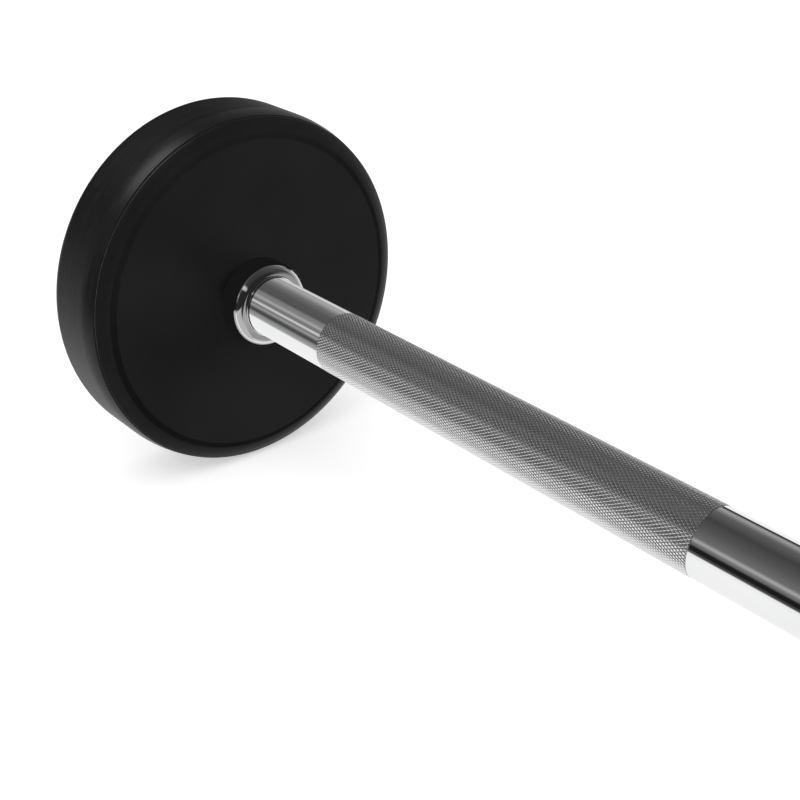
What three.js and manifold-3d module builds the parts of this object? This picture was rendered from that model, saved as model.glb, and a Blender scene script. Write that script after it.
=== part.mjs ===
// Fixed barbell: a straight chromed bar with a keyed, rubber-covered head clamped on each end.
// Millimetres, +Z up. The bar's axis is X, and the origin is the middle of the bar.
// Both ends are alike: the left end is the right end turned half a turn about Z.

import * as THREE from "three";
import { mergeVertices } from "three/addons/utils/BufferGeometryUtils.js";
import Module from "manifold-3d";

const wasm = await Module();
wasm.setup();

// Clearance between pieces that touch, and the length by which a cutter passes what it cuts
const seatGap = 0.3;
const overrun = 2;

// Bar: the plain middle, a knurled band for each hand, and a plain neck up to each head
const barDiameter = 28;
const middleLength = 456;
const knurlLength = 206;
const neckLength = 66;
const knurlRise = 0.15;
const knurlLeadIn = 1.2;
const barEdgeBreak = 1;

// Spigot: the turned-down end of the bar that carries the head's core
const shoulderStep = 2;
const spigotEndRelief = 1;

// Head: a moulded rubber jacket round an iron core
const headDiameter = 172;
const headWidth = 40;
const jacketFaceWall = 5;
const jacketRimWall = 6;
const jacketInnerEdgeRadius = 7.5;
const jacketOuterEdgeRadius = 6.5;
const partingDepth = 0.4;
const partingWidth = 0.9;
const partingMargin = 0.3;
const panelBorder = 16;
const panelDepth = 1.2;
const panelSlope = 1.6;

// Core: a seat for the collar, and grooves round the rim that the rubber locks into
const coreEdgeChamfer = 2.5;
const coreGrooveWidth = 6;
const coreGrooveDepth = 3;
const coreGrooveCount = 2;
const collarSeatDepth = 2;

// Collar: a thick front ring on a thinner sleeve that goes into the head
const collarWall = 5.7;
const collarReach = 14;
const collarFrontRadius = 4;
const collarMouthChamfer = 0.7;
const sleeveWall = 3.7;

// Spring pin through the collar's sleeve and the bar
const pinDiameter = 4;
const pinWall = 0.9;
const pinSlot = 0.9;
const pinEndSetback = 0.9;
const pinInset = 0.7;

// Key between spigot and core
const keyWidth = 6;
const keyHeight = 6;
const keySeatDepth = 3.5;
const keyEndSpace = 1.3;

// Cap screw in the bar's end
const screwDiameter = 10;
const screwHeadDiameter = 16;
const screwHeadHeight = 6;
const screwHeadChamfer = 0.8;
const screwTipChamfer = 1.3;
const screwClearance = 0.4;
const screwFloorWall = 0.5;
const tapTipShare = 0.38;
const socketAcrossFlats = 7;
const socketDepth = 3.4;

// Washers under the screw's head
const endWasherDiameter = 46;
const endWasherThickness = 4.5;
const endWasherChamfer = 0.6;
const lockWasherThickness = 1.8;
const lockWasherWidth = 3.6;
const lockWasherGap = 1.6;
const lockWasherSpread = 0.4;

// End plug that closes the screw's pocket
const plugLip = 2.7;
const plugRimThickness = 3;
const plugCrown = 0.9;
const plugEdgeRadius = 1;
const plugSkirtDepth = 6;
const plugSkirtWall = 2;
const plugWebDrop = 2.2;
const plugBorder = 5;

// Facets
const headSides = 36;
const roundSides = 32;
const smallSides = 20;
const filletSteps = 4;

// Radii that pieces share
const barRadius = barDiameter / 2;
const knurlRadius = barRadius + knurlRise;
const spigotRadius = barRadius - shoulderStep;
const collarBore = barRadius + seatGap;
const collarRadius = collarBore + collarWall;
const sleeveRadius = collarBore + sleeveWall;
const headRadius = headDiameter / 2;
const coreRadius = headRadius - jacketRimWall - seatGap;
const endWasherRadius = endWasherDiameter / 2;
const pocketRadius = endWasherRadius + seatGap;
const plugRadius = pocketRadius + plugLip;
const screwHoleRadius = screwDiameter / 2 + screwClearance;
const pinHoleRadius = pinDiameter / 2 + seatGap;

// Places along the bar. A depth is counted from the head's inner face towards the bar's end.
const faceDistance = middleLength / 2 + knurlLength + neckLength;
const coreInnerDepth = jacketFaceWall + seatGap;
const coreOuterDepth = headWidth - jacketFaceWall - seatGap;
const coreSeatDepth = coreInnerDepth + collarSeatDepth;
const shoulderDepth = coreSeatDepth - seatGap;
const pinDepth = pinDiameter / 2 + pinInset;
const plugSeatDepth = headWidth - plugRimThickness;
const plugWebDepth = plugSeatDepth - plugWebDrop;
const screwTopDepth = plugWebDepth - seatGap;
const screwSeatDepth = screwTopDepth - screwHeadHeight;
const lockWasherDepth = screwSeatDepth - seatGap - lockWasherThickness - lockWasherSpread;
const endWasherDepth = lockWasherDepth - seatGap - endWasherThickness;
const pocketFloorDepth = endWasherDepth - seatGap;
const barEndDepth = pocketFloorDepth - spigotEndRelief;
const tapTipLength = screwHoleRadius * tapTipShare;
const screwHoleDepth = pinDepth + pinHoleRadius + screwFloorWall + tapTipLength;
const screwTipDepth = screwHoleDepth + spigotEndRelief;
const keyStartDepth = shoulderDepth + keyEndSpace;
const keyLength = barEndDepth - keyEndSpace - keyStartDepth;

// Materials
const chrome = new THREE.MeshStandardMaterial({ color: 0xd6d8da, roughness: 0.12, metalness: 1 });
const blackRubber = new THREE.MeshStandardMaterial({ color: 0x1c1c1d, roughness: 0.62, metalness: 0 });
const castIron = new THREE.MeshStandardMaterial({ color: 0x3b3a38, roughness: 0.75, metalness: 0.6 });
const plainSteel = new THREE.MeshStandardMaterial({ color: 0x8e9092, roughness: 0.35, metalness: 1 });
const blackOxide = new THREE.MeshStandardMaterial({ color: 0x24262a, roughness: 0.45, metalness: 0.8 });
const blackPlastic = new THREE.MeshStandardMaterial({ color: 0x151516, roughness: 0.5, metalness: 0 });

// Profile point: distance from the bar's axis, and place along it
function point(radius, along) {
  return new THREE.Vector2(radius, along);
}

// Quarter round of a profile, counter-clockwise. It starts outwards at quarter 0 and towards the
// middle of the bar at quarter -1.
function quarterRound(centreRadius, centreAlong, filletRadius, startQuarter) {
  const points = [];
  for (let step = 0; step <= filletSteps; step += 1) {
    const angle = (startQuarter + step / filletSteps) * Math.PI / 2;
    const across = filletRadius * Math.cos(angle);
    const along = filletRadius * Math.sin(angle);
    points.push(point(centreRadius + across, centreAlong + along));
  }
  return points;
}

// Solid of revolution about X, with a flat facet downwards
function revolve(profile, sides) {
  const geometry = new THREE.LatheGeometry(profile, sides, Math.PI / sides);
  geometry.rotateZ(-Math.PI / 2);
  return geometry;
}

// The same for a ring, whose profile comes back to its first point
function revolveRing(profile, sides) {
  return revolve([...profile, profile[0].clone()], sides);
}

function toSolid(geometry) {
  const bare = geometry.clone();
  bare.deleteAttribute("normal");
  bare.deleteAttribute("uv");
  const merged = mergeVertices(bare);
  const vertProperties = new Float32Array(merged.attributes.position.array);
  const triVerts = new Uint32Array(merged.index.array);
  return new wasm.Manifold(new wasm.Mesh({ numProp: 3, vertProperties, triVerts }));
}

function toGeometry(solid) {
  const { vertProperties, triVerts } = solid.getMesh();
  const geometry = new THREE.BufferGeometry();
  geometry.setAttribute("position", new THREE.BufferAttribute(new Float32Array(vertProperties), 3));
  geometry.setIndex(new THREE.BufferAttribute(new Uint32Array(triVerts), 1));
  geometry.computeVertexNormals();
  return geometry;
}

function cut(geometry, cutters) {
  let solid = toSolid(geometry);
  for (const cutter of cutters) {
    solid = solid.subtract(toSolid(cutter));
  }
  return toGeometry(solid);
}

// Bar with round ends in plan, lying along X and standing up from a base height in Z
function roundEndedBlock(length, width, height, start, base) {
  const radius = width / 2;
  const shape = new THREE.Shape();
  shape.moveTo(radius, -radius);
  shape.lineTo(length - radius, -radius);
  shape.absarc(length - radius, 0, radius, -Math.PI / 2, Math.PI / 2, false);
  shape.lineTo(radius, radius);
  shape.absarc(radius, 0, radius, Math.PI / 2, Math.PI * 3 / 2, false);
  const settings = { depth: height, bevelEnabled: false, curveSegments: filletSteps };
  const geometry = new THREE.ExtrudeGeometry(shape, settings);
  geometry.translate(start, 0, base);
  return geometry;
}

function mesh(name, geometry, material) {
  const piece = new THREE.Mesh(geometry, material.clone());
  piece.name = name;
  return piece;
}

// Cross hole for the spring pin, which lies along Y
function pinHole(length) {
  const geometry = new THREE.CylinderGeometry(pinHoleRadius, pinHoleRadius, length, smallSides);
  geometry.translate(pinDepth, 0, 0);
  return geometry;
}

// Bar: the right half's profile and its mirror image, from one tapped hole to the other
function barProfile() {
  const knurlInner = middleLength / 2;
  const knurlOuter = knurlInner + knurlLength;
  const shoulder = faceDistance + shoulderDepth;
  const end = faceDistance + barEndDepth;
  const holeBottom = faceDistance + screwHoleDepth;
  const rightHalf = [
    point(barRadius, knurlInner),
    point(knurlRadius, knurlInner + knurlLeadIn),
    point(knurlRadius, knurlOuter - knurlLeadIn),
    point(barRadius, knurlOuter),
    point(barRadius, shoulder - barEdgeBreak),
    point(barRadius - barEdgeBreak, shoulder),
    point(spigotRadius, shoulder),
    point(spigotRadius, end - barEdgeBreak),
    point(spigotRadius - barEdgeBreak, end),
    point(screwHoleRadius + barEdgeBreak, end),
    point(screwHoleRadius, end - barEdgeBreak),
    point(screwHoleRadius, holeBottom),
    point(0, holeBottom - tapTipLength),
  ];
  const leftHalf = rightHalf.map((p) => point(p.x, -p.y)).reverse();
  return [...leftHalf, ...rightHalf];
}

function bar() {
  const slotLength = keyLength + seatGap * 2;
  const slotWidth = keyWidth + seatGap * 2;
  const slotFloor = spigotRadius - keySeatDepth - seatGap;
  const slotHeight = keySeatDepth + overrun;
  const keySlot = roundEndedBlock(slotLength, slotWidth, slotHeight, keyStartDepth - seatGap, slotFloor);
  const crossHole = pinHole(barDiameter + overrun * 2);
  const rightCuts = [keySlot, crossHole].map((cutter) => cutter.translate(faceDistance, 0, 0));
  const leftCuts = rightCuts.map((cutter) => cutter.clone().rotateZ(Math.PI));
  return cut(revolve(barProfile(), roundSides), [...rightCuts, ...leftCuts]);
}

// Rim of the core from its inner to its outer face, or of the rubber round it when grown by a gap
function coreRim(grow) {
  const radius = coreRadius + grow;
  const inner = coreInnerDepth - grow;
  const outer = coreOuterDepth + grow;
  const groovePitch = (coreOuterDepth - coreInnerDepth) / (coreGrooveCount + 1);
  const points = [point(radius - coreEdgeChamfer, inner), point(radius, inner + coreEdgeChamfer)];
  for (let groove = 1; groove <= coreGrooveCount; groove += 1) {
    const centre = coreInnerDepth + groovePitch * groove;
    const half = coreGrooveWidth / 2 - grow;
    points.push(point(radius, centre - half));
    points.push(point(radius - coreGrooveDepth, centre - half));
    points.push(point(radius - coreGrooveDepth, centre + half));
    points.push(point(radius, centre + half));
  }
  points.push(point(radius, outer - coreEdgeChamfer), point(radius - coreEdgeChamfer, outer));
  return points;
}

// Core: bored for the spigot, with a broached slot for the key and a pocket for the washers
function core() {
  const bore = spigotRadius + seatGap;
  const collarSeatRadius = sleeveRadius + seatGap;
  const profile = [
    point(collarSeatRadius, coreInnerDepth),
    ...coreRim(0),
    point(pocketRadius, coreOuterDepth),
    point(pocketRadius, pocketFloorDepth),
    point(bore, pocketFloorDepth),
    point(bore, coreSeatDepth),
    point(collarSeatRadius, coreSeatDepth),
  ];
  const slotWidth = keyWidth + seatGap * 2;
  const slotTop = spigotRadius - keySeatDepth + keyHeight + seatGap;
  const slotLength = pocketFloorDepth - coreSeatDepth + overrun * 2;
  const slot = new THREE.BoxGeometry(slotLength, slotWidth, slotTop);
  slot.translate((pocketFloorDepth + coreSeatDepth) / 2, 0, slotTop / 2);
  return cut(revolveRing(profile, roundSides), [slot]);
}

// Jacket: rounded edges, a fine parting groove behind the inner edge, a sunk panel on the outer
// face, and ribs inside that fill the core's grooves
function jacket() {
  const sleeveHole = sleeveRadius + seatGap;
  const plugSeatRadius = plugRadius + seatGap;
  const innerRound = jacketInnerEdgeRadius;
  const outerRound = jacketOuterEdgeRadius;
  const partingStart = innerRound + partingMargin;
  const panelInner = plugRadius + plugBorder;
  const panelOuter = headRadius - panelBorder;
  const panelFloor = headWidth - panelDepth;
  const outside = [
    point(sleeveHole, 0),
    ...quarterRound(headRadius - innerRound, innerRound, innerRound, -1),
    point(headRadius, partingStart),
    point(headRadius - partingDepth, partingStart + partingWidth / 2),
    point(headRadius, partingStart + partingWidth),
    ...quarterRound(headRadius - outerRound, headWidth - outerRound, outerRound, 0),
    point(panelOuter, headWidth),
    point(panelOuter - panelSlope, panelFloor),
    point(panelInner + panelSlope, panelFloor),
    point(panelInner, headWidth),
    point(plugSeatRadius, headWidth),
    point(plugSeatRadius, plugSeatDepth - seatGap),
    point(pocketRadius, plugSeatDepth - seatGap),
  ];
  const inside = [
    point(sleeveHole, coreInnerDepth - seatGap),
    ...coreRim(seatGap),
    point(pocketRadius, coreOuterDepth + seatGap),
  ];
  return revolveRing([...outside, ...inside.reverse()], headSides);
}

// Collar: ring with a well rounded front edge, and behind it the sleeve that seats in the core
function collar() {
  const front = -collarReach;
  const back = -seatGap;
  const roundRadius = collarRadius - collarFrontRadius;
  const profile = [
    point(collarBore, front + collarMouthChamfer),
    point(collarBore + collarMouthChamfer, front),
    ...quarterRound(roundRadius, front + collarFrontRadius, collarFrontRadius, -1),
    point(collarRadius, back),
    point(sleeveRadius, back),
    point(sleeveRadius, shoulderDepth),
    point(collarBore, shoulderDepth),
  ];
  return cut(revolveRing(profile, roundSides), [pinHole(sleeveRadius * 2 + overrun * 2)]);
}

// Spring pin: sheet rolled to a C, lying across the bar
function springPin() {
  const outer = pinDiameter / 2;
  const inner = outer - pinWall;
  const outerSlotAngle = Math.asin(pinSlot / 2 / outer);
  const innerSlotAngle = Math.asin(pinSlot / 2 / inner);
  const length = (sleeveRadius - pinEndSetback) * 2;
  const shape = new THREE.Shape();
  shape.absarc(0, 0, outer, outerSlotAngle, Math.PI * 2 - outerSlotAngle, false);
  shape.absarc(0, 0, inner, Math.PI * 2 - innerSlotAngle, innerSlotAngle, true);
  shape.closePath();
  const settings = { depth: length, bevelEnabled: false, curveSegments: smallSides / 2 };
  const geometry = new THREE.ExtrudeGeometry(shape, settings);
  geometry.translate(0, 0, -length / 2);
  geometry.rotateX(Math.PI / 2);
  geometry.translate(pinDepth, 0, 0);
  return geometry;
}

function coreKey() {
  return roundEndedBlock(keyLength, keyWidth, keyHeight, keyStartDepth, spigotRadius - keySeatDepth);
}

function endWasher() {
  const top = endWasherDepth + endWasherThickness;
  const profile = [
    point(screwHoleRadius, endWasherDepth),
    point(endWasherRadius - endWasherChamfer, endWasherDepth),
    point(endWasherRadius, endWasherDepth + endWasherChamfer),
    point(endWasherRadius, top - endWasherChamfer),
    point(endWasherRadius - endWasherChamfer, top),
    point(screwHoleRadius, top),
  ];
  return revolveRing(profile, roundSides);
}

// Lock washer: a square-wire ring cut through once, its two ends sprung apart along the bar
function lockWasher() {
  const inner = screwHoleRadius;
  const outer = inner + lockWasherWidth;
  const halfGap = Math.asin(lockWasherGap / 2 / inner);
  const corners = [
    point(inner, 0),
    point(outer, 0),
    point(outer, lockWasherThickness),
    point(inner, lockWasherThickness),
  ];
  const positions = [];
  for (let step = 0; step <= smallSides; step += 1) {
    const angle = halfGap + (Math.PI * 2 - halfGap * 2) * step / smallSides;
    const climb = lockWasherDepth + lockWasherSpread * step / smallSides;
    for (const corner of corners) {
      positions.push(climb + corner.y, corner.x * Math.cos(angle), corner.x * Math.sin(angle));
    }
  }
  const count = corners.length;
  const faces = [];
  for (let step = 0; step < smallSides; step += 1) {
    for (let corner = 0; corner < count; corner += 1) {
      const here = step * count + corner;
      const beside = step * count + (corner + 1) % count;
      faces.push(here, here + count, beside);
      faces.push(beside, here + count, beside + count);
    }
  }
  const last = smallSides * count;
  faces.push(0, 1, 2, 0, 2, 3);
  faces.push(last, last + 2, last + 1, last, last + 3, last + 2);
  const geometry = new THREE.BufferGeometry();
  geometry.setAttribute("position", new THREE.BufferAttribute(new Float32Array(positions), 3));
  geometry.setIndex(faces);
  geometry.computeVertexNormals();
  return geometry;
}

// Cap screw: low round head with a hexagon socket, and a plain shank in place of the thread
function capScrew() {
  const shank = screwDiameter / 2;
  const headOuter = screwHeadDiameter / 2;
  const profile = [
    point(0, screwTipDepth),
    point(shank - screwTipChamfer, screwTipDepth),
    point(shank, screwTipDepth + screwTipChamfer),
    point(shank, screwSeatDepth),
    point(headOuter, screwSeatDepth),
    point(headOuter, screwTopDepth - screwHeadChamfer),
    point(headOuter - screwHeadChamfer, screwTopDepth),
    point(0, screwTopDepth),
  ];
  const hexagonSides = 6;
  const socketRadius = socketAcrossFlats / 2 / Math.cos(Math.PI / hexagonSides);
  const socket = new THREE.CylinderGeometry(socketRadius, socketRadius, socketDepth * 2, hexagonSides);
  socket.rotateZ(-Math.PI / 2);
  socket.translate(screwTopDepth, 0, 0);
  return cut(revolve(profile, smallSides), [socket]);
}

// End plug: crowned cap with a lip, on a skirt that grips the pocket's wall
function endPlug() {
  const skirtOuter = pocketRadius - seatGap;
  const skirtInner = skirtOuter - plugSkirtWall;
  const skirtEnd = plugSeatDepth - plugSkirtDepth;
  const edgeTop = headWidth - plugCrown;
  const crownStart = plugRadius - plugEdgeRadius;
  const profile = [
    point(0, plugWebDepth),
    point(skirtInner, plugWebDepth),
    point(skirtInner, skirtEnd),
    point(skirtOuter, skirtEnd),
    point(skirtOuter, plugSeatDepth),
    point(plugRadius, plugSeatDepth),
    ...quarterRound(crownStart, edgeTop - plugEdgeRadius, plugEdgeRadius, 0),
  ];
  for (let step = 1; step <= filletSteps; step += 1) {
    const inward = 1 - step / filletSteps;
    profile.push(point(crownStart * inward, headWidth - plugCrown * inward ** 2));
  }
  return revolve(profile, roundSides);
}

// Every piece of one end, named for its side
function barbellEnd(side) {
  const end = new THREE.Group();
  end.add(mesh(`${side}_inner_collar`, collar(), chrome));
  end.add(mesh(`${side}_spring_pin`, springPin(), plainSteel));
  end.add(mesh(`${side}_rubber_jacket`, jacket(), blackRubber));
  end.add(mesh(`${side}_iron_core`, core(), castIron));
  end.add(mesh(`${side}_core_key`, coreKey(), plainSteel));
  end.add(mesh(`${side}_end_washer`, endWasher(), plainSteel));
  end.add(mesh(`${side}_lock_washer`, lockWasher(), plainSteel));
  end.add(mesh(`${side}_cap_screw`, capScrew(), blackOxide));
  end.add(mesh(`${side}_end_plug`, endPlug(), blackPlastic));
  return end;
}

const barbell = new THREE.Group();
barbell.add(mesh("bar", bar(), chrome));

const rightEnd = barbellEnd("right");
rightEnd.position.x = faceDistance;
barbell.add(rightEnd);

const leftEnd = barbellEnd("left");
leftEnd.position.x = -faceDistance;
leftEnd.rotation.z = Math.PI;
barbell.add(leftEnd);

export default barbell;
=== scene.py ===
# %% [markdown]
# # A fixed barbell
# A straight steel bar carries a round, rubber-covered head on each end. The bar is chromed, with a
# diamond knurl under each hand, and a chromed collar closes the joint between bar and head.
# Everything here is in metres, round a frame that already holds the barbell's plain solids. The bar
# lies along X, its middle is the origin, and Z is up.

# %% Load the frame
import math

import bpy
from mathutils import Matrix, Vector


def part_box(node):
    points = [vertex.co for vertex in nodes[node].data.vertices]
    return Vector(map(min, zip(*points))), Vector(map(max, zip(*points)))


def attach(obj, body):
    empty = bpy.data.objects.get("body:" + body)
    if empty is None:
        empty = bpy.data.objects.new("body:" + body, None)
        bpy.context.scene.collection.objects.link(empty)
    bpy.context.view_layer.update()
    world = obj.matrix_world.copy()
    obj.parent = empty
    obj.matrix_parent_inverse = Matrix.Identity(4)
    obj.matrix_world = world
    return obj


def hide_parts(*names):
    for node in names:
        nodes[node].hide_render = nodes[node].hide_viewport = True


MM = 0.001
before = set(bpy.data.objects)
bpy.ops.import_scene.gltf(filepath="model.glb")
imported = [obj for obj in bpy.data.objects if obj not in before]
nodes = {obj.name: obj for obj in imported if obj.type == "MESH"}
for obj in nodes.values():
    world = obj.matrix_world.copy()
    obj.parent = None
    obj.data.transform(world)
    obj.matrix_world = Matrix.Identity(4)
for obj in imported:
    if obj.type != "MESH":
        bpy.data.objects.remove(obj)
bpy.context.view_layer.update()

# %% [markdown]
# ## Sizes
# Lengths along the bar come from the frame's own boxes, so a piece always meets its neighbour. Round
# sizes are written out, because the frame's circles are facets and their boxes are a hair too small.

# %% Sizes
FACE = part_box("right_rubber_jacket")[0].x
OUTER_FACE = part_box("right_rubber_jacket")[1].x
COLLAR_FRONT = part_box("right_inner_collar")[0].x
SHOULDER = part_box("right_inner_collar")[1].x
BAR_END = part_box("bar")[1].x
PLUG_LIP_HEIGHT = 3 * MM
PLUG_SEAT = OUTER_FACE - PLUG_LIP_HEIGHT

GAP = 0.3 * MM
BAR_RADIUS = 14 * MM
SPIGOT_RADIUS = 12 * MM
HEAD_RADIUS = 86 * MM
COLLAR_RADIUS = 20 * MM
SLEEVE_RADIUS = 18 * MM
COLLAR_BORE = BAR_RADIUS + GAP
PLUG_RADIUS = 26 * MM
PLUG_LIP_WIDTH = 2.7 * MM
POCKET_RADIUS = PLUG_RADIUS - PLUG_LIP_WIDTH

KNURL_START = 228 * MM
KNURL_END = 434 * MM
print("head from", round(FACE, 4), "to", round(OUTER_FACE, 4), "collar from", round(COLLAR_FRONT, 4))

# %% [markdown]
# ## Working by hand, in code
# Blender's operators act on whatever is selected, so each step first clears the selection and then
# picks a piece, or edges by their place. These three helpers do that.


# %% Selection helpers
RING_SLACK = 0.02 * MM


def only(piece):
    """Makes one piece the only selected and the active object."""
    bpy.ops.object.select_all(action="DESELECT")
    piece.select_set(True)
    bpy.context.view_layer.objects.active = piece


def pick_edges(piece, test):
    """In edit mode, selects the edges that pass the test, and nothing else."""
    bpy.ops.mesh.select_mode(type="EDGE")
    bpy.ops.mesh.select_all(action="DESELECT")
    bpy.ops.object.mode_set(mode="OBJECT")
    for edge in piece.data.edges:
        edge.select = test(edge)
    bpy.ops.object.mode_set(mode="EDIT")


def ring_test(piece, along, radius):
    """A test for the edges of the circle at one place along the bar and one radius."""
    points = piece.data.vertices

    def on_ring(edge):
        for index in edge.vertices:
            place = points[index].co
            off = math.hypot(place.y, place.z) - radius
            if max(abs(place.x - along), abs(off)) > RING_SLACK:
                return False
        return True

    return on_ring


# %% [markdown]
# ## Turned pieces
# The bar, the collars, the rubber heads and the end plugs are all round about the bar. A lathe makes
# such a piece from one outline, and so does this: one vertex is extruded from corner to corner, and
# the outline is spun a full turn. Rounds come afterwards, as bevels on the turned edges, as on the
# drawing of a real piece.


# %% Turning
WELD = 0.001 * MM
SHARP_ANGLE = 30
LARGEST_FACES_ONLY = 100


def turn(name, corners, steps):
    """A body turned from an outline of (along, radius) corners, closed in itself or by the axis."""
    bpy.ops.object.select_all(action="DESELECT")
    bpy.ops.mesh.primitive_plane_add(size=MM)
    piece = bpy.context.object
    piece.name = piece.data.name = name
    bpy.ops.object.mode_set(mode="EDIT")
    bpy.ops.mesh.select_mode(type="VERT")
    bpy.ops.mesh.select_all(action="SELECT")
    bpy.ops.mesh.merge(type="CENTER")
    places = [Vector((along, 0, radius)) for along, radius in corners]
    bpy.ops.transform.translate(value=places[0])
    for here, there in zip(places, places[1:]):
        bpy.ops.mesh.extrude_region_move(TRANSFORM_OT_translate={"value": there - here})
    bpy.ops.mesh.select_all(action="SELECT")
    bpy.ops.mesh.remove_doubles(threshold=WELD)
    bpy.ops.mesh.spin(steps=steps, angle=math.tau, center=(0, 0, 0), axis=(1, 0, 0))
    bpy.ops.mesh.select_all(action="SELECT")
    bpy.ops.mesh.remove_doubles(threshold=WELD)
    bpy.ops.mesh.normals_make_consistent(inside=False)
    bpy.ops.object.mode_set(mode="OBJECT")
    return piece


def round_ring(piece, along, radius, size, segments):
    """Rounds one turned edge."""
    only(piece)
    bpy.ops.object.mode_set(mode="EDIT")
    pick_edges(piece, ring_test(piece, along, radius))
    bpy.ops.mesh.bevel(offset=size, segments=segments, profile=0.5, affect="EDGES")
    bpy.ops.object.mode_set(mode="OBJECT")


def smooth(piece):
    """Smooth shading, except across sharper edges, with the large faces deciding how light falls."""
    only(piece)
    bpy.ops.object.shade_smooth_by_angle(angle=math.radians(SHARP_ANGLE))
    bpy.ops.object.modifier_add(type="WEIGHTED_NORMAL")
    weighted = piece.modifiers[-1]
    weighted.keep_sharp = True
    weighted.weight = LARGEST_FACES_ONLY
    bpy.ops.object.modifier_apply(modifier=weighted.name)


def report(piece):
    """Prints what was made."""
    triangles = sum(len(face.vertices) - 2 for face in piece.data.polygons)
    print("made", piece.name, "with", triangles, "triangles")


# %% [markdown]
# ## The bar
# One length of steel, ground, knurled and chromed. Each end is turned down to a spigot for the head,
# with a hole for the clamping screw. The key's slot and the pin's cross hole lie hidden in the head, and
# only the plain solid has them. The knurled bands are made apart, so the shaft has a seat for each.

# %% Bar shaft
BAR_STEPS = 192
KNURL_SEAT_DEPTH = 0.5 * MM
KNURL_SEAT = BAR_RADIUS - KNURL_SEAT_DEPTH
KNURL_EDGE_ROUND = 0.12 * MM
EDGE_BREAK = 1 * MM
HOLE_RADIUS = 5.4 * MM
HOLE_BOTTOM_BEHIND_FACE = 7.55 * MM
HOLE_BOTTOM = FACE + HOLE_BOTTOM_BEHIND_FACE
HOLE_TIP = 2.05 * MM

half = [
    (KNURL_START, BAR_RADIUS),
    (KNURL_START, KNURL_SEAT),
    (KNURL_END, KNURL_SEAT),
    (KNURL_END, BAR_RADIUS),
    (SHOULDER - EDGE_BREAK, BAR_RADIUS),
    (SHOULDER, BAR_RADIUS - EDGE_BREAK),
    (SHOULDER, SPIGOT_RADIUS),
    (BAR_END - EDGE_BREAK, SPIGOT_RADIUS),
    (BAR_END, SPIGOT_RADIUS - EDGE_BREAK),
    (BAR_END, HOLE_RADIUS + EDGE_BREAK),
    (BAR_END - EDGE_BREAK, HOLE_RADIUS),
    (HOLE_BOTTOM, HOLE_RADIUS),
    (HOLE_BOTTOM - HOLE_TIP, 0),
]
other_half = [(-along, radius) for along, radius in reversed(half)]
shaft = turn("bar_shaft", other_half + half, BAR_STEPS)
for side in (1, -1):
    for place in (KNURL_START, KNURL_END):
        round_ring(shaft, side * place, BAR_RADIUS, KNURL_EDGE_ROUND, segments=2)
smooth(shaft)
report(shaft)

# %% [markdown]
# ## The knurl
# Two crossed helical grooves, each 30 degrees off the axis, leave rows of small diamonds. Counted on
# the unrolled bar, there are 63 diamonds round and 84 along each band. A tube of 63 by 84 quads gives
# them: poking every quad and dissolving the old edges turns the grid by 45 degrees into diamonds, and
# an individual inset lifts a flat-topped crest out of each. Each poked middle is lifted just enough to
# lie on the round of the bar, like the corners.

# %% Knurl
DIAMONDS_ROUND = 63
DIAMONDS_ALONG = 84
KNURL_DEPTH = 0.06 * MM
KNURL_VALLEY = BAR_RADIUS - KNURL_DEPTH
KNURL_CREST_HEIGHT = 0.165 * MM
KNURL_CREST = KNURL_VALLEY + KNURL_CREST_HEIGHT
KNURL_FLANK = 0.3 * MM
KNURL_BULGE = KNURL_VALLEY * (1 - math.cos(math.pi / DIAMONDS_ROUND))
END_SLACK = 0.3 * MM


def knurled_band(name):
    """A ring of diamonds from KNURL_START to KNURL_END, on the shaft's seat."""
    bpy.ops.object.select_all(action="DESELECT")
    bpy.ops.mesh.primitive_cylinder_add(
        vertices=DIAMONDS_ROUND,
        radius=KNURL_VALLEY,
        depth=KNURL_END - KNURL_START,
        end_fill_type="NOTHING",
        location=((KNURL_START + KNURL_END) / 2, 0, 0),
        rotation=(0, math.pi / 2, 0),
    )
    band = bpy.context.object
    band.name = band.data.name = name
    bpy.ops.object.transform_apply(location=True, rotation=True, scale=True)
    points = band.data.vertices

    def lengthwise(edge):
        first, second = edge.vertices
        return abs(points[first].co.x - points[second].co.x) > END_SLACK

    bpy.ops.object.mode_set(mode="EDIT")
    pick_edges(band, lengthwise)
    bpy.ops.mesh.subdivide(number_cuts=DIAMONDS_ALONG - 1)
    bpy.ops.object.mode_set(mode="OBJECT")
    corners = len(band.data.vertices)
    bpy.ops.object.mode_set(mode="EDIT")
    bpy.ops.mesh.select_all(action="SELECT")
    bpy.ops.mesh.poke(offset=KNURL_BULGE)
    points = band.data.vertices

    def old_edge(edge):
        first, second = edge.vertices
        if first >= corners or second >= corners:
            return False
        here, there = points[first].co.x, points[second].co.x
        on_start = max(abs(here - KNURL_START), abs(there - KNURL_START)) < END_SLACK
        on_end = max(abs(here - KNURL_END), abs(there - KNURL_END)) < END_SLACK
        return not (on_start or on_end)

    pick_edges(band, old_edge)
    bpy.ops.mesh.dissolve_edges(use_verts=False, use_face_split=False)
    bpy.ops.mesh.select_mode(type="FACE")
    bpy.ops.mesh.select_all(action="SELECT")
    bpy.ops.mesh.inset(
        thickness=KNURL_FLANK, depth=KNURL_CREST_HEIGHT, use_individual=True, use_even_offset=True
    )
    bpy.ops.mesh.select_mode(type="EDGE")
    bpy.ops.mesh.select_all(action="DESELECT")
    bpy.ops.mesh.select_non_manifold(extend=False, use_boundary=True)
    share = KNURL_SEAT / KNURL_VALLEY
    bpy.ops.mesh.extrude_region_move()
    bpy.ops.transform.resize(value=(1, share, share), center_override=(0, 0, 0))
    bpy.ops.mesh.bridge_edge_loops()
    bpy.ops.mesh.select_all(action="SELECT")
    bpy.ops.mesh.normals_make_consistent(inside=False)
    bpy.ops.object.mode_set(mode="OBJECT")
    return band


right_knurl = knurled_band("right_knurl")
report(right_knurl)

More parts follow.
